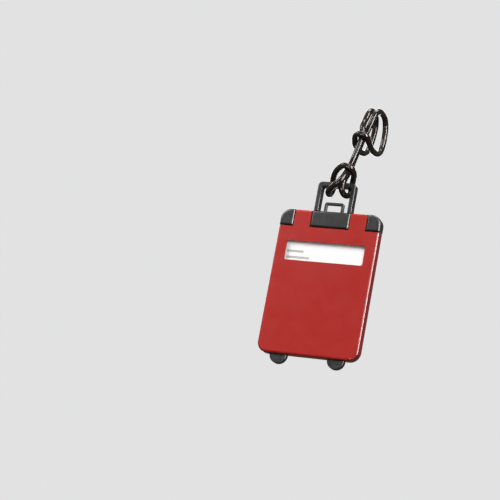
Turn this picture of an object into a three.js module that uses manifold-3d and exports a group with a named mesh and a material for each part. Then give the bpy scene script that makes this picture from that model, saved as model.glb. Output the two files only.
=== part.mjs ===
// Luggage tag shaped like a small suitcase, hanging from a carrying handle by a cord loop.
// Millimetres. +X is to the right of the label side, -Y is the way the label faces, +Z is up.
// The origin is the middle of the space in the cord's upper loop, where the suitcase handle goes.
import * as THREE from 'three'
import { mergeVertices } from 'three/addons/utils/BufferGeometryUtils.js'
import Module from 'manifold-3d'

const wasm = await Module()
wasm.setup()

// ---------------------------------------------------------------- driving dimensions
// Sleeve and lobes share one blank. In the tag's own frame x is from the middle,
// y is from the front face and z is from the top of the blank.
const TAG_PLACE = [-7.5, -17, -50.1]
const BODY_W = 55
const BODY_H = 77
const BODY_T = 5.8
const CORNER_R = 5.5
const EDGE_R = 1.3
const SPLIT_Y = BODY_T / 2
const PIECE_GAP = 0.3

const WALL_FRONT = 1.2
const WALL_SIDE = 1.6
const CAVITY_BACK_Y = BODY_T - WALL_FRONT

const LOBE_H = 8.7
const SHOULDER_Z = -9.3
const BLOCK_HALF = 10.45
const CORNER_LOBE_IN = 20.0

const WINDOW_W = 42.8
const WINDOW_TOP = -17.0
const WINDOW_H = 10.5
const WINDOW_R = 1.0
const FILM_T = 0.3
const FILM_LAP = 1.6
const FILM_REBATE_Y = 0.6

const WHEEL_R = 4.6
const WHEEL_T = 3.3
const WHEEL_X = 15.6
const WHEEL_Y = 3.15
const WHEEL_Z = -77.2
const WHEEL_FACE_T = 1.0
const WHEEL_CROWN = 0.5
const WHEEL_BORE_R = 1.4
const WHEEL_PIN_R = 1.05
const WHEEL_PIN_ROOT_Y = 5.4
const WHEEL_WELL_R = 5.1

const TRAY_T = 2.8
const TRAY_HALF = 25.5
const TRAY_BOTTOM = -71.6
const TRAY_RIM = 1.2
const CARD_BED_TOP = -12
const CARD_BED_Y = 2.7
const CARD_T = 0.5

const FRAME_HALF = 10.3
const FRAME_TOP = 16.2
const FRAME_T = 4.4
const RAIL_W = 2.4
const BAR_H = 2.5
const TENON_W = 1.3
const TENON_T = 3.0
const TENON_H = 5

const CARRY_HALF = 5.3
const CARRY_TOP = 5.4
const CARRY_BAR = 1.4
const CARRY_T = 2.0
const CARRY_FOOT = 3

const CORD_D = 3.2
const CORD_SIDES = 8
const CORD_STEPS = 80

// Cord route in the tag's frame, from the weld behind the bar round to the weld again.
const CORD_ROUTE = [
  // lower hitch: over the crown, down behind the bar, under it and up in front of it
  [-4.6, 7.7, 15.6], [-4.7, 6.1, 18.4], [-3.5, 3.0, 20.4], [-0.3, -1.7, 22.4], [3.9, -4.4, 23.8],
  [7.4, -3.5, 23.0], [8.0, 0.8, 21.2], [6.5, 5.3, 19.1], [5.7, 7.5, 15.9], [5.5, 7.1, 12.6],
  [5.0, 4.5, 10.3], [4.2, 1.2, 10.2], [3.7, -1.2, 11.9], [3.9, -1.8, 14.8], [4.1, -0.4, 17.8],
  // up to the suitcase handle
  [3.9, 2.4, 20.9], [4.2, 4.9, 25.6], [4.9, 6.5, 32.0], [6.0, 7.2, 37.6], [7.0, 7.5, 42.4],
  // right turn: up the handle's front, over it, down behind, under and out to the front
  [8.6, 7.5, 47.2], [10.3, 7.4, 52.6], [11.1, 8.8, 57.6], [11.5, 12.4, 60.4], [11.5, 17.2, 61.1],
  [11.6, 22.0, 60.3], [11.7, 25.2, 57.4], [11.7, 26.6, 52.6], [11.6, 26.6, 47.2], [11.5, 25.0, 42.6],
  [11.3, 21.4, 39.9], [11.1, 16.0, 39.0], [11.1, 10.4, 39.3], [11.3, 5.4, 40.8], [10.6, 1.9, 42.6],
  // left turn: across both standing strands, under the handle, up behind and over it
  [8.3, 0.5, 43.3], [5.2, 1.4, 42.6], [3.3, 6.0, 40.9], [3.1, 11.0, 39.3], [3.4, 16.4, 39.0],
  [3.8, 21.6, 39.9], [4.3, 25.1, 42.7], [4.9, 26.6, 47.3], [5.6, 26.6, 52.7], [6.2, 25.1, 57.5],
  [6.7, 21.8, 60.4], [7.1, 17.2, 61.2], [7.3, 12.4, 60.6], [7.2, 9.0, 58.0], [6.6, 7.2, 53.4],
  [6.9, 4.3, 48.4], [7.7, 4.0, 43.9],
  // back down to the tag, in front of the bar, under it and up to the weld
  [7.1, 3.8, 39.0], [5.9, 3.2, 32.1], [5.2, 1.2, 25.9], [4.6, -1.6, 21.5], [4.9, -4.5, 18.2],
  [3.4, -5.4, 15.1], [0.2, -4.3, 12.5], [-3.0, -1.4, 10.9], [-4.5, 2.7, 10.1], [-4.8, 6.2, 11.2],
  [-4.6, 7.7, 14.2], [-4.6, 7.75, 15.1]
]

// ---------------------------------------------------------------- materials
const redPlastic = () => new THREE.MeshStandardMaterial({ color: 0xb13830, roughness: 0.32, metalness: 0 })
const blackPlastic = () => new THREE.MeshStandardMaterial({ color: 0x3a3938, roughness: 0.42, metalness: 0 })
const wheelPlastic = () => new THREE.MeshStandardMaterial({ color: 0x2e2e31, roughness: 0.4, metalness: 0 })
const whiteCard = () => new THREE.MeshStandardMaterial({ color: 0xf7f7f5, roughness: 0.85, metalness: 0 })
const clearFilm = () => new THREE.MeshStandardMaterial({
  color: 0xf4f6f6, roughness: 0.08, metalness: 0, transparent: true, opacity: 0.15
})
const smokeVinyl = () => new THREE.MeshStandardMaterial({
  color: 0x2b2622, roughness: 0.15, metalness: 0, transparent: true, opacity: 0.85
})

// ---------------------------------------------------------------- solids
function solid(geometry) {
  const plain = geometry.index ? geometry.toNonIndexed() : geometry.clone()
  for (const name of Object.keys(plain.attributes)) {
    if (name !== 'position') plain.deleteAttribute(name)
  }
  const merged = mergeVertices(plain, 1e-4)
  return new wasm.Manifold(new wasm.Mesh({
    numProp: 3,
    vertProperties: new Float32Array(merged.attributes.position.array),
    triVerts: new Uint32Array(merged.index.array)
  }))
}

function node(name, body, material) {
  const mesh = body.getMesh()
  const geometry = new THREE.BufferGeometry()
  geometry.setAttribute('position', new THREE.BufferAttribute(new Float32Array(mesh.vertProperties), 3))
  geometry.setIndex(new THREE.BufferAttribute(new Uint32Array(mesh.triVerts), 1))
  geometry.computeVertexNormals()
  const part = new THREE.Mesh(geometry, material)
  part.name = name
  return part
}

function box(x0, x1, y0, y1, z0, z1) {
  const geometry = new THREE.BoxGeometry(x1 - x0, y1 - y0, z1 - z0)
  geometry.translate((x0 + x1) / 2, (y0 + y1) / 2, (z0 + z1) / 2)
  return solid(geometry)
}

// A rectangle with one radius on its two low corners and another on its two top corners.
function roundedRect(x0, x1, z0, z1, radiusLow, radiusTop) {
  const shape = new THREE.Shape()
  const corners = [[x1, z0, radiusLow], [x1, z1, radiusTop], [x0, z1, radiusTop], [x0, z0, radiusLow]]
  const middle = [(x0 + x1) / 2, (z0 + z1) / 2]
  shape.moveTo(middle[0], z0)
  corners.forEach(([x, z, radius], i) => {
    const start = (i - 1) * Math.PI / 2
    const inX = x - Math.sign(x - middle[0]) * radius
    const inZ = z - Math.sign(z - middle[1]) * radius
    if (radius > 0) shape.absarc(inX, inZ, radius, start, start + Math.PI / 2)
    else shape.lineTo(x, z)
  })
  shape.closePath()
  return shape
}

// An outline in the x-z plane, given thickness from y0 to y1, with rounded front and back edges.
function slab(shape, y0, y1, edge = 0, curveSegments = 6) {
  const geometry = new THREE.ExtrudeGeometry(shape, {
    depth: y1 - y0 - 2 * edge,
    curveSegments,
    steps: 1,
    bevelEnabled: edge > 0,
    bevelThickness: edge,
    bevelSize: edge,
    bevelOffset: -edge,
    bevelSegments: 4
  })
  geometry.rotateX(Math.PI / 2)
  geometry.translate(0, y1 - edge, 0)
  return solid(geometry)
}

// A round bar along y.
function rod(radius, x, z, y0, y1, sides = 32) {
  const geometry = new THREE.CylinderGeometry(radius, radius, y1 - y0, sides)
  geometry.translate(x, (y0 + y1) / 2, z)
  return solid(geometry)
}

function blank() {
  const outline = roundedRect(-BODY_W / 2, BODY_W / 2, -BODY_H, 0, CORNER_R, CORNER_R)
  return slab(outline, 0, BODY_T, EDGE_R)
}

// ---------------------------------------------------------------- sleeve
const LOBE_ZONES = [
  [-BODY_W / 2, -CORNER_LOBE_IN],
  [-BLOCK_HALF, BLOCK_HALF],
  [CORNER_LOBE_IN, BODY_W / 2]
]

function sleeveSolid() {
  let sleeve = blank()
  for (const [x0, x1] of LOBE_ZONES) {
    sleeve = sleeve.subtract(box(x0 - PIECE_GAP, x1 + PIECE_GAP, -1, BODY_T + 1, SHOULDER_Z, 1))
  }
  const half = BODY_W / 2 - WALL_SIDE
  const cavity = box(-half, half, WALL_FRONT, CAVITY_BACK_Y, -BODY_H + WALL_SIDE, 1)
  sleeve = sleeve.subtract(cavity)
  for (const side of [-1, 1]) {
    sleeve = sleeve.subtract(wheelWell(side * WHEEL_X))
  }
  return sleeve
}

function wheelWell(x) {
  const y0 = WHEEL_Y - WHEEL_T / 2 - PIECE_GAP
  const y1 = WHEEL_Y + WHEEL_T / 2 + PIECE_GAP
  const below = box(x - WHEEL_WELL_R, x + WHEEL_WELL_R, y0, y1, -BODY_H - 2, WHEEL_Z)
  return rod(WHEEL_WELL_R, x, WHEEL_Z, y0, y1).add(below)
}

function windowOpening() {
  const half = WINDOW_W / 2
  const outline = roundedRect(-half, half, WINDOW_TOP - WINDOW_H, WINDOW_TOP, WINDOW_R, WINDOW_R)
  return slab(outline, -1, WALL_FRONT + 1)
}

function filmRebate() {
  const half = WINDOW_W / 2 + FILM_LAP
  const low = WINDOW_TOP - WINDOW_H - FILM_LAP
  return box(-half, half, FILM_REBATE_Y, WALL_FRONT + 1, low, WINDOW_TOP + FILM_LAP)
}

function frontShell(sleeve) {
  const front = box(-BODY_W, BODY_W, -1, SPLIT_Y - PIECE_GAP / 2, -BODY_H - 1, 1)
  const shell = sleeve.intersect(front).subtract(windowOpening()).subtract(filmRebate())
  return node('front_shell', shell, redPlastic())
}

// The wheel pins are moulded on the rear shell and end inside the wheels.
function rearShell(sleeve) {
  const rear = box(-BODY_W, BODY_W, SPLIT_Y + PIECE_GAP / 2, BODY_T + 1, -BODY_H - 1, 1)
  let shell = sleeve.intersect(rear)
  const tip = WHEEL_Y - WHEEL_T / 2 + WHEEL_FACE_T + PIECE_GAP
  for (const side of [-1, 1]) {
    shell = shell.add(rod(WHEEL_PIN_R, side * WHEEL_X, WHEEL_Z, tip, WHEEL_PIN_ROOT_Y, 24))
  }
  return node('rear_shell', shell, redPlastic())
}

function windowFilm() {
  const half = WINDOW_W / 2 + FILM_LAP - PIECE_GAP
  const low = WINDOW_TOP - WINDOW_H - FILM_LAP + PIECE_GAP
  const high = WINDOW_TOP + FILM_LAP - PIECE_GAP
  const y0 = FILM_REBATE_Y + PIECE_GAP
  return node('window_film', box(-half, half, y0, y0 + FILM_T, low, high), clearFilm())
}

// ---------------------------------------------------------------- wheels
// A disc with a closed front face and a blind bore from behind for its pin.
function wheel(name, x) {
  const half = WHEEL_T / 2
  const flat = WHEEL_R - WHEEL_CROWN
  const rim = half - WHEEL_CROWN
  const boreEnd = -half + WHEEL_FACE_T
  const profile = [
    [0, -half], [flat, -half], [WHEEL_R, -rim], [WHEEL_R, rim], [flat, half],
    [WHEEL_BORE_R, half], [WHEEL_BORE_R, boreEnd], [0, boreEnd]
  ]
  const geometry = new THREE.LatheGeometry(profile.map(([r, y]) => new THREE.Vector2(r, y)), 32)
  const part = node(name, solid(geometry), wheelPlastic())
  part.position.set(x, WHEEL_Y, WHEEL_Z)
  return part
}

// ---------------------------------------------------------------- insert
function lobes() {
  const body = blank()
  const cuts = LOBE_ZONES.map(([x0, x1]) => box(x0, x1, -1, BODY_T + 1, -LOBE_H, 1))
  return cuts.map((cut) => body.intersect(cut)).reduce((all, lobe) => all.add(lobe))
}

function insertTray() {
  const y0 = SPLIT_Y - TRAY_T / 2
  const y1 = SPLIT_Y + TRAY_T / 2
  const plate = box(-TRAY_HALF, TRAY_HALF, y0, y1, TRAY_BOTTOM, -LOBE_H + 1)
  const web = box(-CORNER_LOBE_IN - 1, CORNER_LOBE_IN + 1, y0, y1, -LOBE_H, -PIECE_GAP)
  const bedHalf = TRAY_HALF - TRAY_RIM
  const bed = box(-bedHalf, bedHalf, y0 - 1, CARD_BED_Y, TRAY_BOTTOM + TRAY_RIM, CARD_BED_TOP)
  let tray = plate.add(web).add(lobes()).subtract(bed)
  for (const socket of handleSockets()) {
    tray = tray.subtract(socket)
  }
  return node('insert_tray', tray, blackPlastic())
}

function handleSockets() {
  const sockets = []
  const g = PIECE_GAP
  for (const side of [-1, 1]) {
    const tenon = side * tenonX()
    sockets.push(box(
      tenon - TENON_W / 2 - g, tenon + TENON_W / 2 + g,
      SPLIT_Y - TENON_T / 2 - g, SPLIT_Y + TENON_T / 2 + g, -TENON_H - g, 1
    ))
    const foot = side * (CARRY_HALF - CARRY_BAR / 2)
    sockets.push(box(
      foot - CARRY_BAR / 2 - g, foot + CARRY_BAR / 2 + g,
      SPLIT_Y - CARRY_T / 2 - g, SPLIT_Y + CARRY_T / 2 + g, -CARRY_FOOT - g, 1
    ))
  }
  return sockets
}

function tenonX() {
  return FRAME_HALF - RAIL_W + TENON_W / 2 + 0.1
}

function card() {
  const half = TRAY_HALF - TRAY_RIM - PIECE_GAP
  const y1 = CARD_BED_Y - PIECE_GAP
  const low = TRAY_BOTTOM + TRAY_RIM + PIECE_GAP
  return node('name_card', box(-half, half, y1 - CARD_T, y1, low, CARD_BED_TOP - PIECE_GAP), whiteCard())
}

// ---------------------------------------------------------------- the two small handles
function pullHandle() {
  const outer = roundedRect(-FRAME_HALF, FRAME_HALF, PIECE_GAP, FRAME_TOP, 0, 2.2)
  const inHalf = FRAME_HALF - RAIL_W
  const inner = roundedRect(-inHalf, inHalf, -2, FRAME_TOP - BAR_H, 0, 1.0)
  const y0 = SPLIT_Y - FRAME_T / 2
  const y1 = SPLIT_Y + FRAME_T / 2
  let frame = slab(outer, y0, y1, 0.4).subtract(slab(inner, y0 - 1, y1 + 1))
  for (const side of [-1, 1]) {
    const x = side * tenonX()
    frame = frame.add(box(
      x - TENON_W / 2, x + TENON_W / 2, SPLIT_Y - TENON_T / 2, SPLIT_Y + TENON_T / 2, -TENON_H, 1.5
    ))
  }
  return node('pull_handle', frame, blackPlastic())
}

function carryHandle() {
  const y0 = SPLIT_Y - CARRY_T / 2
  const y1 = SPLIT_Y + CARRY_T / 2
  const outer = roundedRect(-CARRY_HALF, CARRY_HALF, -CARRY_FOOT, CARRY_TOP, 0, 1.2)
  const inHalf = CARRY_HALF - CARRY_BAR
  const inner = roundedRect(-inHalf, inHalf, -CARRY_FOOT - 1, CARRY_TOP - CARRY_BAR, 0, 0.5)
  return node('carry_handle', slab(outer, y0, y1).subtract(slab(inner, y0 - 1, y1 + 1)), blackPlastic())
}

// ---------------------------------------------------------------- cord
function cord() {
  const section = new THREE.Shape()
  for (let i = 0; i < CORD_SIDES; i += 1) {
    const angle = (i / CORD_SIDES) * Math.PI * 2
    const corner = [Math.cos(angle) * CORD_D / 2, Math.sin(angle) * CORD_D / 2]
    if (i === 0) section.moveTo(...corner)
    else section.lineTo(...corner)
  }
  section.closePath()
  const points = CORD_ROUTE.map((place) => new THREE.Vector3(...place))
  const path = new THREE.CatmullRomCurve3(points, false, 'centripetal')
  const sweep = { steps: CORD_STEPS, extrudePath: path, bevelEnabled: false }
  return node('cord', solid(new THREE.ExtrudeGeometry(section, sweep)), smokeVinyl())
}

// ---------------------------------------------------------------- assembly
const sleeve = sleeveSolid()
const tag = new THREE.Group()
tag.position.set(...TAG_PLACE)
tag.add(frontShell(sleeve))
tag.add(rearShell(sleeve))
tag.add(windowFilm())
tag.add(wheel('wheel_left', -WHEEL_X))
tag.add(wheel('wheel_right', WHEEL_X))
tag.add(insertTray())
tag.add(card())
tag.add(pullHandle())
tag.add(carryHandle())
tag.add(cord())

export default tag
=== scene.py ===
import math

import bmesh
import bpy
from mathutils import Matrix, Vector


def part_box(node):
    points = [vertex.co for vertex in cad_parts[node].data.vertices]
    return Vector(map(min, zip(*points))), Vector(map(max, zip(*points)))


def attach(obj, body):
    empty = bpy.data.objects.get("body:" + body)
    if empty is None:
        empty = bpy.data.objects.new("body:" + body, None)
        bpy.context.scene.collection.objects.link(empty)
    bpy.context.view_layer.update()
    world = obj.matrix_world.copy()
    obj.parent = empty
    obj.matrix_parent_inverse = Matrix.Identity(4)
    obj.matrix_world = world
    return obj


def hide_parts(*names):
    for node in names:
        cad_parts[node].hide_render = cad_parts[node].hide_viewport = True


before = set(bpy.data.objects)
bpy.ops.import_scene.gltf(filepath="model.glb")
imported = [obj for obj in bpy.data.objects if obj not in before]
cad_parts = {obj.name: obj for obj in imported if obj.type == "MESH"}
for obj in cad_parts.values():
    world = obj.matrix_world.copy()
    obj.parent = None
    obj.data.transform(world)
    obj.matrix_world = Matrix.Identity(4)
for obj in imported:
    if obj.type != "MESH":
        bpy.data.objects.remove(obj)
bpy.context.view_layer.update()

# Sizes below are millimetres in the tag's own frame: x from its middle line, y back from
# its front face, z up from the top of its tabs. tag() turns them into the row's metres.
MM = 0.001
FRONT_LOW, FRONT_HIGH = (Vector(c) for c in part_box("front_shell"))
REAR_HIGH = Vector(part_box("rear_shell")[1])
TAG_ORIGIN = Vector(((FRONT_LOW.x + FRONT_HIGH.x) / 2, FRONT_LOW.y, FRONT_HIGH.z))

BODY_W = (FRONT_HIGH.x - FRONT_LOW.x) / MM
BODY_H = (FRONT_HIGH.z - FRONT_LOW.z) / MM
BODY_T = (REAR_HIGH.y - FRONT_LOW.y) / MM
MID_Y = BODY_T / 2
CORNER_R = 5.5
EDGE_R = 1.3
WALL = 1.2
SIDE_WALL = 1.6
SEAM = 0.1
SHOULDER_Z = -9.3
LOBE_H = 8.7
BLOCK_HALF = 10.45
CORNER_LOBE_IN = 20.0
LOBE_GAP = 0.3
LOBE_PROUD = 0.35
LOBE_EDGE_R = 1.0
WINDOW_W = 42.8
WINDOW_TOP = -17.0
WINDOW_H = 10.5
WINDOW_R = 1.0
FILM_LAP = 1.6
FILM_GAP = 0.3
FILM_Y = 0.9
FILM_T = 0.3
FRAME_RAIL = 2.4
FRAME_BAR = 2.5
CORD_D = 3.2


def tag(x, y, z):
    """A point in the tag's own frame, as metres in the row's frame."""
    return TAG_ORIGIN + Vector((x, y, z)) * MM


# ------------------------------------------------------------------ camera
CAMERA_AZIMUTH = 23.6
CAMERA_ELEVATION = -14.0
CAMERA_ROLL = 10.92
CAMERA_DISTANCE = 0.905
CAMERA_AIM = tag(-37.05, -8.93, -26.66)
CAMERA_LENS = 126.6


def add_camera():
    azimuth = math.radians(CAMERA_AZIMUTH)
    elevation = math.radians(CAMERA_ELEVATION)
    back = Vector((
        math.sin(azimuth) * math.cos(elevation),
        -math.cos(azimuth) * math.cos(elevation),
        math.sin(elevation),
    ))
    data = bpy.data.cameras.new("camera")
    data.lens = CAMERA_LENS
    data.sensor_width = 36
    data.clip_start = 0.02
    data.clip_end = 200
    camera = bpy.data.objects.new("camera", data)
    bpy.context.collection.objects.link(camera)
    camera.location = CAMERA_AIM + back * CAMERA_DISTANCE
    level = (-back).to_track_quat("-Z", "Y").to_matrix()
    roll = Matrix.Rotation(math.radians(CAMERA_ROLL), 3, "Z")
    camera.rotation_euler = (level @ roll).to_euler()
    bpy.context.scene.camera = camera


# ------------------------------------------------------------------ materials
class Shader:
    """A material's node tree with short ways to add and join nodes."""

    def __init__(self, name):
        self.material = bpy.data.materials.new(name)
        self.material.use_nodes = True
        self.nodes = self.material.node_tree.nodes
        self.links = self.material.node_tree.links
        self.principled = self.nodes["Principled BSDF"]
        self.place = self.add("ShaderNodeTexCoord").outputs["Object"]

    def add(self, kind, **values):
        node = self.nodes.new(kind)
        for key, value in values.items():
            setattr(node, key, value)
        return node

    def set(self, **values):
        for key, value in values.items():
            self.principled.inputs[key.replace("_", " ")].default_value = value

    def noise(self, scale, detail=3.0, roughness=0.5, stretch=None):
        node = self.add("ShaderNodeTexNoise")
        node.inputs["Scale"].default_value = scale
        node.inputs["Detail"].default_value = detail
        node.inputs["Roughness"].default_value = roughness
        source = self.place
        if stretch:
            mapping = self.add("ShaderNodeMapping")
            mapping.inputs["Scale"].default_value = stretch
            self.links.new(source, mapping.inputs["Vector"])
            source = mapping.outputs["Vector"]
        self.links.new(source, node.inputs["Vector"])
        return node.outputs["Fac"]

    def spread(self, source, low, high, to_low, to_high):
        node = self.add("ShaderNodeMapRange")
        ends = {"From Min": low, "From Max": high, "To Min": to_low, "To Max": to_high}
        for key, value in ends.items():
            node.inputs[key].default_value = value
        self.links.new(source, node.inputs["Value"])
        return node.outputs["Result"]

    def math(self, operation, first, second):
        node = self.add("ShaderNodeMath", operation=operation)
        for slot, value in enumerate((first, second)):
            if isinstance(value, (int, float)):
                node.inputs[slot].default_value = value
            else:
                self.links.new(value, node.inputs[slot])
        return node.outputs["Value"]

    def mix(self, factor, first, second):
        """Two colours mixed by a factor; each of the three is a value or a node's output."""
        node = self.add("ShaderNodeMix", data_type="RGBA")
        sockets = (node.inputs[0], node.inputs[6], node.inputs[7])
        for socket, value in zip(sockets, (factor, first, second)):
            if isinstance(value, (int, float)):
                socket.default_value = value
            elif isinstance(value, tuple):
                socket.default_value = (*value, 1)
            else:
                self.links.new(value, socket)
        return node.outputs[2]

    def tones(self, pattern, dark, light):
        """A colour that drifts between two tones with a noise pattern."""
        return self.mix(self.spread(pattern, 0.3, 0.7, 0, 1), dark, light)

    def colour(self, source):
        self.links.new(source, self.principled.inputs["Base Color"])

    def rough(self, source):
        self.links.new(source, self.principled.inputs["Roughness"])

    def bump(self, *layers):
        """Each layer is (height, depth in metres); they add up."""
        normal = None
        for height, depth in layers:
            node = self.add("ShaderNodeBump")
            node.inputs["Strength"].default_value = 1.0
            node.inputs["Distance"].default_value = depth
            self.links.new(height, node.inputs["Height"])
            if normal:
                self.links.new(normal, node.inputs["Normal"])
            normal = node.outputs["Normal"]
        self.links.new(normal, self.principled.inputs["Normal"])


def red_plastic():
    """Semi-gloss moulded plastic: faint flow shading, orange peel, and fine handling scratches."""
    s = Shader("red_plastic")
    s.set(IOR=1.5, Coat_Weight=0.12, Coat_Roughness=0.12)
    flow = s.noise(28, 4, 0.55, (1, 1, 0.45))
    speck = s.noise(900, 2)
    tone = s.tones(flow, (0.392, 0.0115, 0.0063), (0.424, 0.0138, 0.0076))
    s.colour(s.mix(s.spread(speck, 0.35, 0.75, 0, 0.25), tone, (0.340, 0.0085, 0.0045)))
    s.rough(s.spread(s.noise(140, 4), 0.25, 0.75, 0.28, 0.35))
    scratches = s.noise(260, 3, 0.6, (1, 1, 9))
    s.bump((s.noise(950, 2), 0.0000045), (scratches, 0.0000025))
    return s.material


def black_plastic():
    """Satin black plastic from a spark-eroded mould: a fine even grain that breaks up the gloss."""
    s = Shader("black_plastic")
    s.set(IOR=1.5)
    tone = s.tones(s.noise(60, 4, 0.6), (0.020, 0.0195, 0.0190), (0.030, 0.0293, 0.0285))
    s.colour(s.mix(s.spread(s.noise(2600, 2), 0.4, 0.7, 0, 0.5), tone, (0.040, 0.039, 0.038)))
    s.rough(s.spread(s.noise(400, 3), 0.3, 0.7, 0.28, 0.38))
    s.bump((s.noise(2400, 2, 0.6), 0.000012), (s.noise(700, 2), 0.000006))
    return s.material


def wheel_plastic():
    """Black plastic rubbed slightly grey and uneven by rolling."""
    s = Shader("wheel_plastic")
    s.set(IOR=1.5)
    tone = s.tones(s.noise(180, 4), (0.008, 0.008, 0.009), (0.018, 0.018, 0.020))
    s.colour(s.mix(s.spread(s.noise(1800, 2), 0.5, 0.8, 0, 0.6), tone, (0.055, 0.055, 0.058)))
    s.rough(s.spread(s.noise(500, 3), 0.3, 0.7, 0.34, 0.52))
    s.bump((s.noise(2000, 3), 0.000010))
    return s.material


def clear_film():
    """Thin clear plastic sheet, faintly hazed."""
    s = Shader("clear_film")
    s.set(IOR=1.45, Alpha=0.06, Base_Color=(0.96, 0.97, 0.97, 1))
    s.rough(s.spread(s.noise(300, 3), 0.3, 0.7, 0.05, 0.12))
    s.bump((s.noise(90, 2), 0.000006))
    return s.material


def smoke_vinyl():
    """Smoke vinyl: gloss over a dark brown body that lets a little light in."""
    s = Shader("smoke_vinyl")
    s.set(IOR=1.5, Transmission_Weight=0.15, Specular_IOR_Level=0.22)
    s.colour(s.tones(s.noise(120, 3, 0.5), (0.020, 0.015, 0.012), (0.044, 0.032, 0.023)))
    s.rough(s.spread(s.noise(160, 3), 0.3, 0.7, 0.12, 0.17))
    s.bump((s.noise(90, 2), 0.000006))
    return s.material


# Plain bars printed on the card: left, right and bottom.
PRINT_BARS = [
    (-21.1, -12.1, -22.8),
    (-21.1, -8.4, -26.1),
]
PRINT_BAR_H = 1.2


def card_paper():
    """Matt white card with paper fibre and two plain grey bars."""
    s = Shader("card")
    s.set(IOR=1.4, Specular_IOR_Level=0.25)
    fibre = s.noise(1500, 4, 0.65, (1, 1, 0.5))
    paper = s.tones(fibre, (0.940, 0.938, 0.930), (0.980, 0.979, 0.974))
    ink = s.math("MULTIPLY", print_mask(s), s.spread(s.noise(1200, 3), 0.2, 0.6, 0.55, 0.95))
    s.colour(s.mix(ink, paper, (0.34, 0.34, 0.345)))
    s.rough(s.spread(fibre, 0.3, 0.7, 0.62, 0.85))
    s.bump((fibre, 0.000012))
    return s.material


def print_mask(s):
    """1 inside the printed bars and 0 outside them."""
    split = s.add("ShaderNodeSeparateXYZ")
    s.links.new(s.place, split.inputs[0])
    mask = None
    for x0, x1, z in PRINT_BARS:
        low = tag(x0, 0, z)
        high = tag(x1, 0, z + PRINT_BAR_H)
        inside = [
            s.math("GREATER_THAN", split.outputs["X"], low.x),
            s.math("LESS_THAN", split.outputs["X"], high.x),
            s.math("GREATER_THAN", split.outputs["Z"], low.z),
            s.math("LESS_THAN", split.outputs["Z"], high.z),
        ]
        bar = inside[0]
        for test in inside[1:]:
            bar = s.math("MULTIPLY", bar, test)
        mask = bar if mask is None else s.math("MAXIMUM", mask, bar)
    return mask


# ------------------------------------------------------------------ mesh helpers
# The radius of a corner that counts as sharp, and how far a cutter runs past what it cuts.
SHARP_R = 0.02
PAST = 1


def rounded_rect(x0, x1, z0, z1, low_r, top_r, steps=10):
    """Corner points of a rectangle in x and z, anticlockwise, with rounded corners."""
    corners = (
        (x1 - low_r, z0 + low_r, low_r, -90),
        (x1 - top_r, z1 - top_r, top_r, 0),
        (x0 + top_r, z1 - top_r, top_r, 90),
        (x0 + low_r, z0 + low_r, low_r, 180),
    )
    points = []
    for x, z, radius, start in corners:
        for i in range(steps + 1):
            angle = math.radians(start + 90 * i / steps)
            points.append((x + radius * math.cos(angle), z + radius * math.sin(angle)))
    return points


def new_object(name, bm, material):
    """Moves a mesh from the tag's millimetres to the row's metres and makes it an object."""
    bmesh.ops.remove_doubles(bm, verts=bm.verts, dist=1e-5)
    bmesh.ops.recalc_face_normals(bm, faces=bm.faces)
    for vert in bm.verts:
        vert.co = tag(*vert.co)
    mesh = bpy.data.meshes.new(name)
    bm.to_mesh(mesh)
    bm.free()
    piece = bpy.data.objects.new(name, mesh)
    bpy.context.collection.objects.link(piece)
    if material:
        mesh.materials.append(material)
    return piece


def skin(bm, rows):
    """Faces between neighbouring rings of vertices; a ring of one vertex is a point."""
    for first, second in zip(rows, rows[1:]):
        count = max(len(first), len(second))
        for i in range(count):
            j = (i + 1) % count
            if len(first) == 1:
                bm.faces.new((first[0], second[i], second[j]))
            elif len(second) == 1:
                bm.faces.new((first[i], first[j], second[0]))
            else:
                bm.faces.new((first[i], first[j], second[j], second[i]))


def loft(name, rings, material=None):
    """A closed skin over rings of points; the first and last rings are capped."""
    bm = bmesh.new()
    rows = [[bm.verts.new(point) for point in ring] for ring in rings]
    skin(bm, rows)
    bm.faces.new(rows[0])
    bm.faces.new(rows[-1])
    return new_object(name, bm, material)


def circle(x, y, z, radius, sides):
    """Points round a circle that faces along y."""
    angles = [2 * math.pi * i / sides for i in range(sides)]
    return [(x + radius * math.cos(a), y, z + radius * math.sin(a)) for a in angles]


def slab(name, x0, x1, z0, z1, y0, y1, low_r, top_r, edge=0.0, material=None, steps=10, rounds=6):
    """A rounded rectangle with thickness, its front and back edges rounded by edge."""
    turns = [math.radians(90 * i / rounds) for i in range(rounds + 1)] if edge else [math.pi / 2]
    steps_in = [(edge * (1 - math.sin(turn)), edge * (1 - math.cos(turn))) for turn in turns]
    levels = [(inset, y0 + depth) for inset, depth in steps_in]
    levels += [(inset, y1 - depth) for inset, depth in reversed(steps_in)]
    rings = []
    for inset, y in levels:
        outline = rounded_rect(
            x0 + inset, x1 - inset, z0 + inset, z1 - inset,
            max(low_r - inset, SHARP_R), max(top_r - inset, SHARP_R), steps,
        )
        rings.append([(x, y, z) for x, z in outline])
    return loft(name, rings, material)


def block(x0, x1, y0, y1, z0, z1):
    return slab("cutter", x0, x1, z0, z1, y0, y1, SHARP_R, SHARP_R, steps=1)


def disc(radius, x, z, y0, y1, sides=64):
    return loft("cutter", [circle(x, y, z, radius, sides) for y in (y0, y1)])


def bake_modifiers(piece):
    """Applies the modifiers, leaving a plain mesh."""
    graph = bpy.context.evaluated_depsgraph_get()
    mesh = bpy.data.meshes.new_from_object(piece.evaluated_get(graph))
    piece.modifiers.clear()
    old = piece.data
    piece.data = mesh
    bpy.data.meshes.remove(old)


def combine(piece, operation, other):
    """Joins, cuts or intersects a piece with another, which is used up."""
    modifier = piece.modifiers.new("shape", "BOOLEAN")
    modifier.operation = operation
    modifier.solver = "EXACT"
    modifier.object = other
    bake_modifiers(piece)
    bpy.data.objects.remove(other)
    return piece


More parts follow.
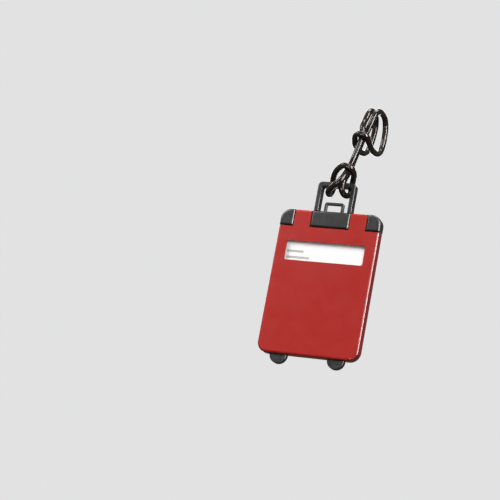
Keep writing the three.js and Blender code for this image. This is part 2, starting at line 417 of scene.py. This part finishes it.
def soften(piece, width, segments=3, angle=38):
    """Rounds the sharp edges a little."""
    bevel = piece.modifiers.new("edges", "BEVEL")
    bevel.width = width * MM
    bevel.segments = segments
    bevel.limit_method = "ANGLE"
    bevel.angle_limit = math.radians(angle)
    bevel.use_clamp_overlap = True
    bevel.miter_outer = "MITER_ARC"
    bake_modifiers(piece)
    smooth(piece)


def smooth(piece):
    """Smooth shading weighted by face area, so that flats stay flat."""
    for polygon in piece.data.polygons:
        polygon.use_smooth = True
    normals = piece.modifiers.new("normals", "WEIGHTED_NORMAL")
    normals.mode = "FACE_AREA_WITH_ANGLE"
    normals.weight = 60
    normals.keep_sharp = True


# ------------------------------------------------------------------ sleeve
LOBE_ZONES = [
    (-BODY_W / 2, -CORNER_LOBE_IN),
    (-BLOCK_HALF, BLOCK_HALF),
    (CORNER_LOBE_IN, BODY_W / 2),
]
WHEEL_X = 15.6
WHEEL_Z = -77.2
WHEEL_R = 4.6
WHEEL_T = 3.3
WHEEL_Y = 3.15
WHEEL_CROWN = 0.55
WHEEL_BORE_R = 1.4
WHEEL_BORE_LIP = 0.15
WHEEL_FACE = 1.0
WELL_R = 5.1
PIN_R = 1.05
PIN_TIP_Y = 2.8
PIN_ROOT_Y = BODY_T - 0.4
SHELL_SOFT = 0.16


def blank(name, material, proud=0.0):
    """The sleeve's full outline as one solid, which may stand proud at the front and back."""
    half = BODY_W / 2
    return slab(
        name, -half, half, -BODY_H, 0, -proud, BODY_T + proud,
        CORNER_R, CORNER_R, EDGE_R, material, rounds=8,
    )


def wheel_well(x):
    """The space a wheel turns in, open at the bottom."""
    y0 = WHEEL_Y - WHEEL_T / 2 - LOBE_GAP
    y1 = WHEEL_Y + WHEEL_T / 2 + LOBE_GAP
    round_part = disc(WELL_R, x, WHEEL_Z, y0, y1)
    mouth = block(x - WELL_R, x + WELL_R, y0, y1, -BODY_H - 2 * PAST, WHEEL_Z)
    return combine(round_part, "UNION", mouth)


def sleeve_half(name, y0, y1, material):
    """One half of the sleeve, cut back for the lobes, hollowed, and opened for the wheels."""
    half = blank(name, material)
    keep = block(-BODY_W, BODY_W, y0, y1, -BODY_H - 2 * PAST, 2 * PAST)
    combine(half, "INTERSECT", keep)
    for x0, x1 in LOBE_ZONES:
        cut = block(x0 - LOBE_GAP, x1 + LOBE_GAP, -PAST, BODY_T + PAST, SHOULDER_Z, 2 * PAST)
        combine(half, "DIFFERENCE", cut)
    inside = BODY_W / 2 - SIDE_WALL
    cavity = block(-inside, inside, WALL, BODY_T - WALL, -BODY_H + SIDE_WALL, 3 * PAST)
    combine(half, "DIFFERENCE", cavity)
    for side in (-1, 1):
        combine(half, "DIFFERENCE", wheel_well(side * WHEEL_X))
    return half


def front_shell(material):
    shell = sleeve_half("front_shell_skin", -PAST, MID_Y - SEAM / 2, material)
    half = WINDOW_W / 2
    low = WINDOW_TOP - WINDOW_H
    window = slab("cutter", -half, half, low, WINDOW_TOP, -PAST, WALL + PAST, WINDOW_R, WINDOW_R)
    combine(shell, "DIFFERENCE", window)
    rebate = block(
        -half - FILM_LAP, half + FILM_LAP, WALL / 2, WALL + PAST, low - FILM_LAP, WINDOW_TOP + FILM_LAP
    )
    combine(shell, "DIFFERENCE", rebate)
    soften(shell, SHELL_SOFT)
    return shell


def rear_shell(material):
    shell = sleeve_half("rear_shell_skin", MID_Y + SEAM / 2, BODY_T + PAST, material)
    for side in (-1, 1):
        pin = disc(PIN_R, side * WHEEL_X, WHEEL_Z, PIN_TIP_Y, PIN_ROOT_Y, 32)
        combine(shell, "UNION", pin)
    soften(shell, SHELL_SOFT)
    return shell


def window_film(material):
    lap = FILM_LAP - FILM_GAP
    half = WINDOW_W / 2 + lap
    low = WINDOW_TOP - WINDOW_H - lap
    high = WINDOW_TOP + lap
    return slab(
        "window_film_sheet", -half, half, low, high, FILM_Y, FILM_Y + FILM_T,
        0.6, 0.6, 0.05, material, 4, 2,
    )


# ------------------------------------------------------------------ wheels
def wheel(name, x, material):
    """A disc with a rounded tread, a closed front and a blind bore behind."""
    half = WHEEL_T / 2
    crown = WHEEL_CROWN
    flat_r = WHEEL_R - crown
    turns = [math.radians(90 * i / 6) for i in range(7)]
    profile = [(0.0, -half)]
    profile += [(flat_r + crown * math.sin(t), -half + crown * (1 - math.cos(t))) for t in turns]
    profile += [(flat_r + crown * math.cos(t), half - crown * (1 - math.sin(t))) for t in turns]
    profile += [
        (WHEEL_BORE_R + WHEEL_BORE_LIP, half),
        (WHEEL_BORE_R, half - WHEEL_BORE_LIP),
        (WHEEL_BORE_R, -half + WHEEL_FACE),
        (0.0, -half + WHEEL_FACE),
    ]
    bm = bmesh.new()
    rows = []
    for radius, y in profile:
        ring = circle(x, WHEEL_Y + y, WHEEL_Z, radius, 72 if radius else 1)
        rows.append([bm.verts.new(point) for point in ring])
    skin(bm, rows)
    piece = new_object(name, bm, material)
    smooth(piece)
    return piece


# ------------------------------------------------------------------ insert
TRAY_T = 2.8
TRAY_HALF = 25.5
TRAY_BOTTOM = -71.6
TRAY_RIM = 1.2
BED_TOP = -12
BED_Y = 2.7
CARD_GAP = 0.3
CARD_T = 0.5
TRAY_SOFT = 0.2
FOOT_GAP = 0.15
TENON_X = 8.65
TENON_W = 1.3
TENON_T = 3.0
TENON_H = 5
CARRY_HALF = 5.3
CARRY_TOP = 5.4
CARRY_BAR = 1.4
CARRY_T = 2.0
CARRY_FOOT = 3
FRAME_HALF = 10.3
FRAME_TOP = 16.2
FRAME_T = 4.4


def lobe(x0, x1):
    """One of the tray's top lobes: a length of the sleeve's outline with its cut edges rounded."""
    piece = blank("lobe", None, LOBE_PROUD)
    front = -LOBE_PROUD - 0.01
    left = x0 if x0 > -BODY_W / 2 else x0 - 3 * PAST
    right = x1 if x1 < BODY_W / 2 else x1 + 3 * PAST
    outline = slab(
        "cutter", left, right, -LOBE_H, 4 * PAST, front, BODY_T - front, 0.4, 0.4, LOBE_EDGE_R, None, 4
    )
    return combine(piece, "INTERSECT", outline)


def pocket(x, width, thick, depth):
    """The space in the centre lobe that a handle's foot stands in."""
    half_w = width / 2 + FOOT_GAP
    half_t = thick / 2 + FOOT_GAP
    return block(x - half_w, x + half_w, MID_Y - half_t, MID_Y + half_t, -depth - FOOT_GAP, 2 * PAST)


def insert_tray(material):
    """The card tray: an open bed under a top bar with three lobes."""
    y0 = MID_Y - TRAY_T / 2
    y1 = MID_Y + TRAY_T / 2
    tray = slab(
        "insert_tray_body", -TRAY_HALF, TRAY_HALF, TRAY_BOTTOM, -LOBE_H + 1, y0, y1, 1.5, 0.3, 0, material
    )
    bar_half = CORNER_LOBE_IN + 1
    combine(tray, "UNION", block(-bar_half, bar_half, y0, y1, -LOBE_H, -LOBE_GAP))
    bed_half = TRAY_HALF - TRAY_RIM
    bed = slab(
        "cutter", -bed_half, bed_half, TRAY_BOTTOM + TRAY_RIM, BED_TOP, y0 - PAST, BED_Y, 0.8, 0.8
    )
    combine(tray, "DIFFERENCE", bed)
    for x0, x1 in LOBE_ZONES:
        combine(tray, "UNION", lobe(x0, x1))
    for side in (-1, 1):
        combine(tray, "DIFFERENCE", pocket(side * TENON_X, TENON_W, TENON_T, TENON_H))
        foot_x = side * (CARRY_HALF - CARRY_BAR / 2)
        combine(tray, "DIFFERENCE", pocket(foot_x, CARRY_BAR, CARRY_T, CARRY_FOOT))
    soften(tray, TRAY_SOFT)
    return tray


def corner(x, z, radius, start, end, steps=8):
    """Points along an arc in x and z, between two angles in degrees."""
    turns = [math.radians(start + (end - start) * i / steps) for i in range(steps + 1)]
    return [(x + radius * math.cos(turn), z + radius * math.sin(turn)) for turn in turns]


def arch(name, half, top, bar, rail, foot, thick, outer_r, inner_r, edge, material):
    """An upside-down U: rails of one width under a bar of another, with rounded edges."""
    inside = half - rail
    under = top - bar
    outline = [(-half, foot)]
    outline += corner(-half + outer_r, top - outer_r, outer_r, 180, 90)
    outline += corner(half - outer_r, top - outer_r, outer_r, 90, 0)
    outline += [(half, foot), (inside, foot)]
    outline += corner(inside - inner_r, under - inner_r, inner_r, 0, 90)
    outline += corner(-inside + inner_r, under - inner_r, inner_r, 90, 180)
    outline.append((-inside, foot))
    rings = [[(x, y, z) for x, z in outline] for y in (MID_Y - thick / 2, MID_Y + thick / 2)]
    piece = loft(name, rings, material)
    soften(piece, edge, 4, 50)
    return piece


def pull_handle(material):
    """The upright frame, with a tenon under each rail."""
    frame_part = arch(
        "pull_handle_frame", FRAME_HALF, FRAME_TOP, FRAME_BAR, FRAME_RAIL, 0.05, FRAME_T,
        2.2, 1.0, 0.5, material,
    )
    for side, end in ((-1, "left"), (1, "right")):
        x = side * TENON_X
        tenon = slab(
            "pull_handle_tenon_" + end, x - TENON_W / 2, x + TENON_W / 2, -TENON_H, 0.9,
            MID_Y - TENON_T / 2, MID_Y + TENON_T / 2, 0.3, 0.3, 0.2, material, 3, 2,
        )
        smooth(tenon)
        tenon.parent = frame_part
    return frame_part


def carry_handle(material):
    return arch(
        "carry_handle_loop", CARRY_HALF, CARRY_TOP, CARRY_BAR, CARRY_BAR, -CARRY_FOOT, CARRY_T,
        1.3, 0.5, 0.35, material,
    )


def name_card(material):
    half = TRAY_HALF - TRAY_RIM - CARD_GAP
    back = BED_Y - CARD_GAP
    return slab(
        "name_card_sheet", -half, half, TRAY_BOTTOM + TRAY_RIM + CARD_GAP, BED_TOP - CARD_GAP,
        back - CARD_T, back, 0.6, 0.6, 0.05, material, 4, 2,
    )


# ------------------------------------------------------------------ cord
# The cord's route, from the weld behind the frame's bar round to the weld again.
CORD_ROUTE = [
    # lower hitch: over the crown, down behind the bar, under it and up in front of it
    (-4.6, 7.7, 15.6), (-4.7, 6.1, 18.4), (-3.5, 3.0, 20.4), (-0.3, -1.7, 22.4), (3.9, -4.4, 23.8),
    (7.4, -3.5, 23.0), (8.0, 0.8, 21.2), (6.5, 5.3, 19.1), (5.7, 7.5, 15.9), (5.5, 7.1, 12.6),
    (5.0, 4.5, 10.3), (4.2, 1.2, 10.2), (3.7, -1.2, 11.9), (3.9, -1.8, 14.8), (4.1, -0.4, 17.8),
    # up to the suitcase handle
    (3.9, 2.4, 20.9), (4.2, 4.9, 25.6), (4.9, 6.5, 32.0), (6.0, 7.2, 37.6), (7.0, 7.5, 42.4),
    # right turn: up the handle's front, over it, down behind, under and out to the front
    (8.6, 7.5, 47.2), (10.3, 7.4, 52.6), (11.1, 8.8, 57.6), (11.5, 12.4, 60.4), (11.5, 17.2, 61.1),
    (11.6, 22.0, 60.3), (11.7, 25.2, 57.4), (11.7, 26.6, 52.6), (11.6, 26.6, 47.2), (11.5, 25.0, 42.6),
    (11.3, 21.4, 39.9), (11.1, 16.0, 39.0), (11.1, 10.4, 39.3), (11.3, 5.4, 40.8), (10.6, 1.9, 42.6),
    # left turn: across both standing strands, under the handle, up behind and over it
    (8.3, 0.5, 43.3), (5.2, 1.4, 42.6), (3.3, 6.0, 40.9), (3.1, 11.0, 39.3), (3.4, 16.4, 39.0),
    (3.8, 21.6, 39.9), (4.3, 25.1, 42.7), (4.9, 26.6, 47.3), (5.6, 26.6, 52.7), (6.2, 25.1, 57.5),
    (6.7, 21.8, 60.4), (7.1, 17.2, 61.2), (7.3, 12.4, 60.6), (7.2, 9.0, 58.0), (6.6, 7.2, 53.4),
    (6.9, 4.3, 48.4), (7.7, 4.0, 43.9),
    # back down to the tag, in front of the bar, under it and up to the weld
    (7.1, 3.8, 39.0), (5.9, 3.2, 32.1), (5.2, 1.2, 25.9), (4.6, -1.6, 21.5), (4.9, -4.5, 18.2),
    (3.4, -5.4, 15.1), (0.2, -4.3, 12.5), (-3.0, -1.4, 10.9), (-4.5, 2.7, 10.1), (-4.8, 6.2, 11.2),
    (-4.6, 7.7, 14.2), (-4.6, 7.75, 15.1),
]


def smooth_path(points, per_span=10):
    """Points along a centripetal Catmull-Rom curve through the given ones."""
    ends = [points[0] * 2 - points[1], *points, points[-1] * 2 - points[-2]]
    path = []
    for p0, p1, p2, p3 in zip(ends, ends[1:], ends[2:], ends[3:]):
        t1 = (p1 - p0).length ** 0.5
        t2 = t1 + (p2 - p1).length ** 0.5
        t3 = t2 + (p3 - p2).length ** 0.5
        for i in range(per_span):
            t = t1 + (t2 - t1) * i / per_span
            a1 = p0 * ((t1 - t) / t1) + p1 * (t / t1)
            a2 = p1 * ((t2 - t) / (t2 - t1)) + p2 * ((t - t1) / (t2 - t1))
            a3 = p2 * ((t3 - t) / (t3 - t2)) + p3 * ((t - t2) / (t3 - t2))
            b1 = a1 * ((t2 - t) / t2) + a2 * (t / t2)
            b2 = a2 * ((t3 - t) / (t3 - t1)) + a3 * ((t - t1) / (t3 - t1))
            path.append(b1 * ((t2 - t) / (t2 - t1)) + b2 * ((t - t1) / (t2 - t1)))
    path.append(points[-1])
    return path


def add_cord(material):
    path = [tag(*point) for point in smooth_path([Vector(p) for p in CORD_ROUTE])]
    data = bpy.data.curves.new("cord_vinyl", "CURVE")
    data.dimensions = "3D"
    data.bevel_depth = CORD_D / 2 * MM
    data.bevel_resolution = 12
    data.use_fill_caps = True
    spline = data.splines.new("POLY")
    spline.points.add(len(path) - 1)
    for point, place in zip(spline.points, path):
        point.co = (*place, 1)
    spline.use_smooth = True
    data.materials.append(material)
    piece = bpy.data.objects.new("cord_vinyl", data)
    bpy.context.collection.objects.link(piece)
    weld = weld_collar(path[0], path[-1], material)
    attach(piece, "cord")
    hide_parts("cord")
    return piece


# The weld collar's profile: distance along the cord and radius.
WELD_PROFILE = [
    (-1.4, 1.57), (-1.0, 1.7), (-0.35, 1.72), (-0.1, 1.85),
    (0.1, 1.85), (0.35, 1.72), (1.0, 1.7), (1.4, 1.57),
]


def weld_collar(start, end, material):
    """The welded joint that closes the loop: a short collar with a flash ridge round it."""
    axis = (start - end).normalized()
    middle = (start + end) / 2
    side = axis.orthogonal().normalized()
    other = axis.cross(side)
    sides = 40
    bm = bmesh.new()
    rows = []
    for along, radius in WELD_PROFILE:
        ring = []
        for i in range(sides):
            angle = 2 * math.pi * i / sides
            place = middle + axis * along * MM
            place += (side * math.cos(angle) + other * math.sin(angle)) * radius * MM
            ring.append(bm.verts.new(place))
        rows.append(ring)
    skin(bm, rows)
    bm.faces.new(rows[0])
    bm.faces.new(rows[-1])
    bmesh.ops.recalc_face_normals(bm, faces=bm.faces)
    mesh = bpy.data.meshes.new("cord_weld")
    bm.to_mesh(mesh)
    bm.free()
    mesh.materials.append(material)
    piece = bpy.data.objects.new("cord_weld", mesh)
    bpy.context.collection.objects.link(piece)
    smooth(piece)
    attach(piece, "cord")
    return piece


# ------------------------------------------------------------------ stage and light
TAG_CENTRE = tag(0, MID_Y, -32)
FLOOR_Z = -0.62
FLOOR_REACH = 40
PALE = (0.80, 0.80, 0.805, 1)
SOFT_FILL = 0.16
BACKDROP_FILL = 0.95

# Soft lights: name, place, width, height, power, colour, and whether it shows in gloss only.
LIGHTS = [
    ("key", (-0.95, -0.80, 0.75), 0.7, 0.7, 19, (1, 1, 1), False),
    ("front", (0.75, -1.30, 0.65), 0.9, 0.9, 19, (1, 1, 1), False),
    ("low_front", (0.10, -1.20, -0.85), 0.8, 0.5, 15, (1, 1, 1), False),
    ("strip", (1.06, -0.48, 0.21), 0.30, 1.6, 70, (1, 1, 1), True),
    ("top", (0.0, 0.10, 1.0), 0.6, 0.4, 10, (1, 0.97, 0.93), False),
    ("back", (-0.75, 1.25, 0.45), 1.1, 1.1, 16, (1, 1, 1), False),
]


def add_floor():
    """A plain pale floor that the camera sees and the tag's gloss does not."""
    mesh = bpy.data.meshes.new("floor")
    corners = [(-1, -1), (1, -1), (1, 1), (-1, 1)]
    places = [(x * FLOOR_REACH, y * FLOOR_REACH, FLOOR_Z) for x, y in corners]
    mesh.from_pydata(places, [], [(0, 1, 2, 3)])
    floor = bpy.data.objects.new("floor", mesh)
    bpy.context.collection.objects.link(floor)
    s = Shader("floor")
    s.colour(s.mix(s.noise(3, 4), (0.28, 0.28, 0.283), (0.32, 0.32, 0.32)))
    s.set(Roughness=0.9, Specular_IOR_Level=0.1)
    s.set(Emission_Color=PALE, Emission_Strength=0.80)
    mesh.materials.append(s.material)
    floor.visible_diffuse = False
    floor.visible_glossy = False
    floor.visible_transmission = False


def add_light(name, place, width, height, power, colour, gloss_only):
    data = bpy.data.lights.new(name, "AREA")
    data.shape = "RECTANGLE"
    data.size = width
    data.size_y = height
    data.energy = power
    data.color = colour
    light = bpy.data.objects.new(name, data)
    bpy.context.collection.objects.link(light)
    light.location = place
    light.rotation_euler = (TAG_CENTRE - Vector(place)).to_track_quat("-Z", "Y").to_euler()
    light.visible_camera = False
    light.visible_diffuse = not gloss_only


def add_world():
    """A pale backdrop for the camera that lights the tag only dimly."""
    world = bpy.data.worlds.new("studio")
    world.use_nodes = True
    tree = world.node_tree
    lighting = tree.nodes["Background"]
    lighting.inputs["Color"].default_value = PALE
    lighting.inputs["Strength"].default_value = SOFT_FILL
    backdrop = tree.nodes.new("ShaderNodeBackground")
    backdrop.inputs["Color"].default_value = PALE
    backdrop.inputs["Strength"].default_value = BACKDROP_FILL
    mix = tree.nodes.new("ShaderNodeMixShader")
    path = tree.nodes.new("ShaderNodeLightPath")
    tree.links.new(path.outputs["Is Camera Ray"], mix.inputs["Fac"])
    tree.links.new(lighting.outputs["Background"], mix.inputs[1])
    tree.links.new(backdrop.outputs["Background"], mix.inputs[2])
    tree.links.new(mix.outputs["Shader"], tree.nodes["World Output"].inputs["Surface"])
    bpy.context.scene.world = world
    bpy.context.scene.view_settings.view_transform = "Standard"


# ------------------------------------------------------------------ build
def place(piece, body, slot, *nodes):
    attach(piece, body)
    if nodes:
        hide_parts(*nodes)


def build():
    add_camera()
    add_cord(smoke_vinyl())
    red = red_plastic()
    black = black_plastic()
    rubbed = wheel_plastic()
    place(front_shell(red), "sleeve", "red_plastic", "front_shell")
    place(rear_shell(red), "sleeve", "red_plastic", "rear_shell")
    place(window_film(clear_film()), "sleeve", "clear_film", "window_film")
    for side, name in ((-1, "wheel_left"), (1, "wheel_right")):
        place(wheel(name + "_disc", side * WHEEL_X, rubbed), name, "wheel_plastic", name)
    place(insert_tray(black), "insert", "black_plastic", "insert_tray")
    place(pull_handle(black), "insert", "black_plastic", "pull_handle")
    place(carry_handle(black), "insert", "black_plastic", "carry_handle")
    place(name_card(card_paper()), "insert", "card", "name_card")
    add_floor()
    for light in LIGHTS:
        add_light(*light)
    add_world()


build()
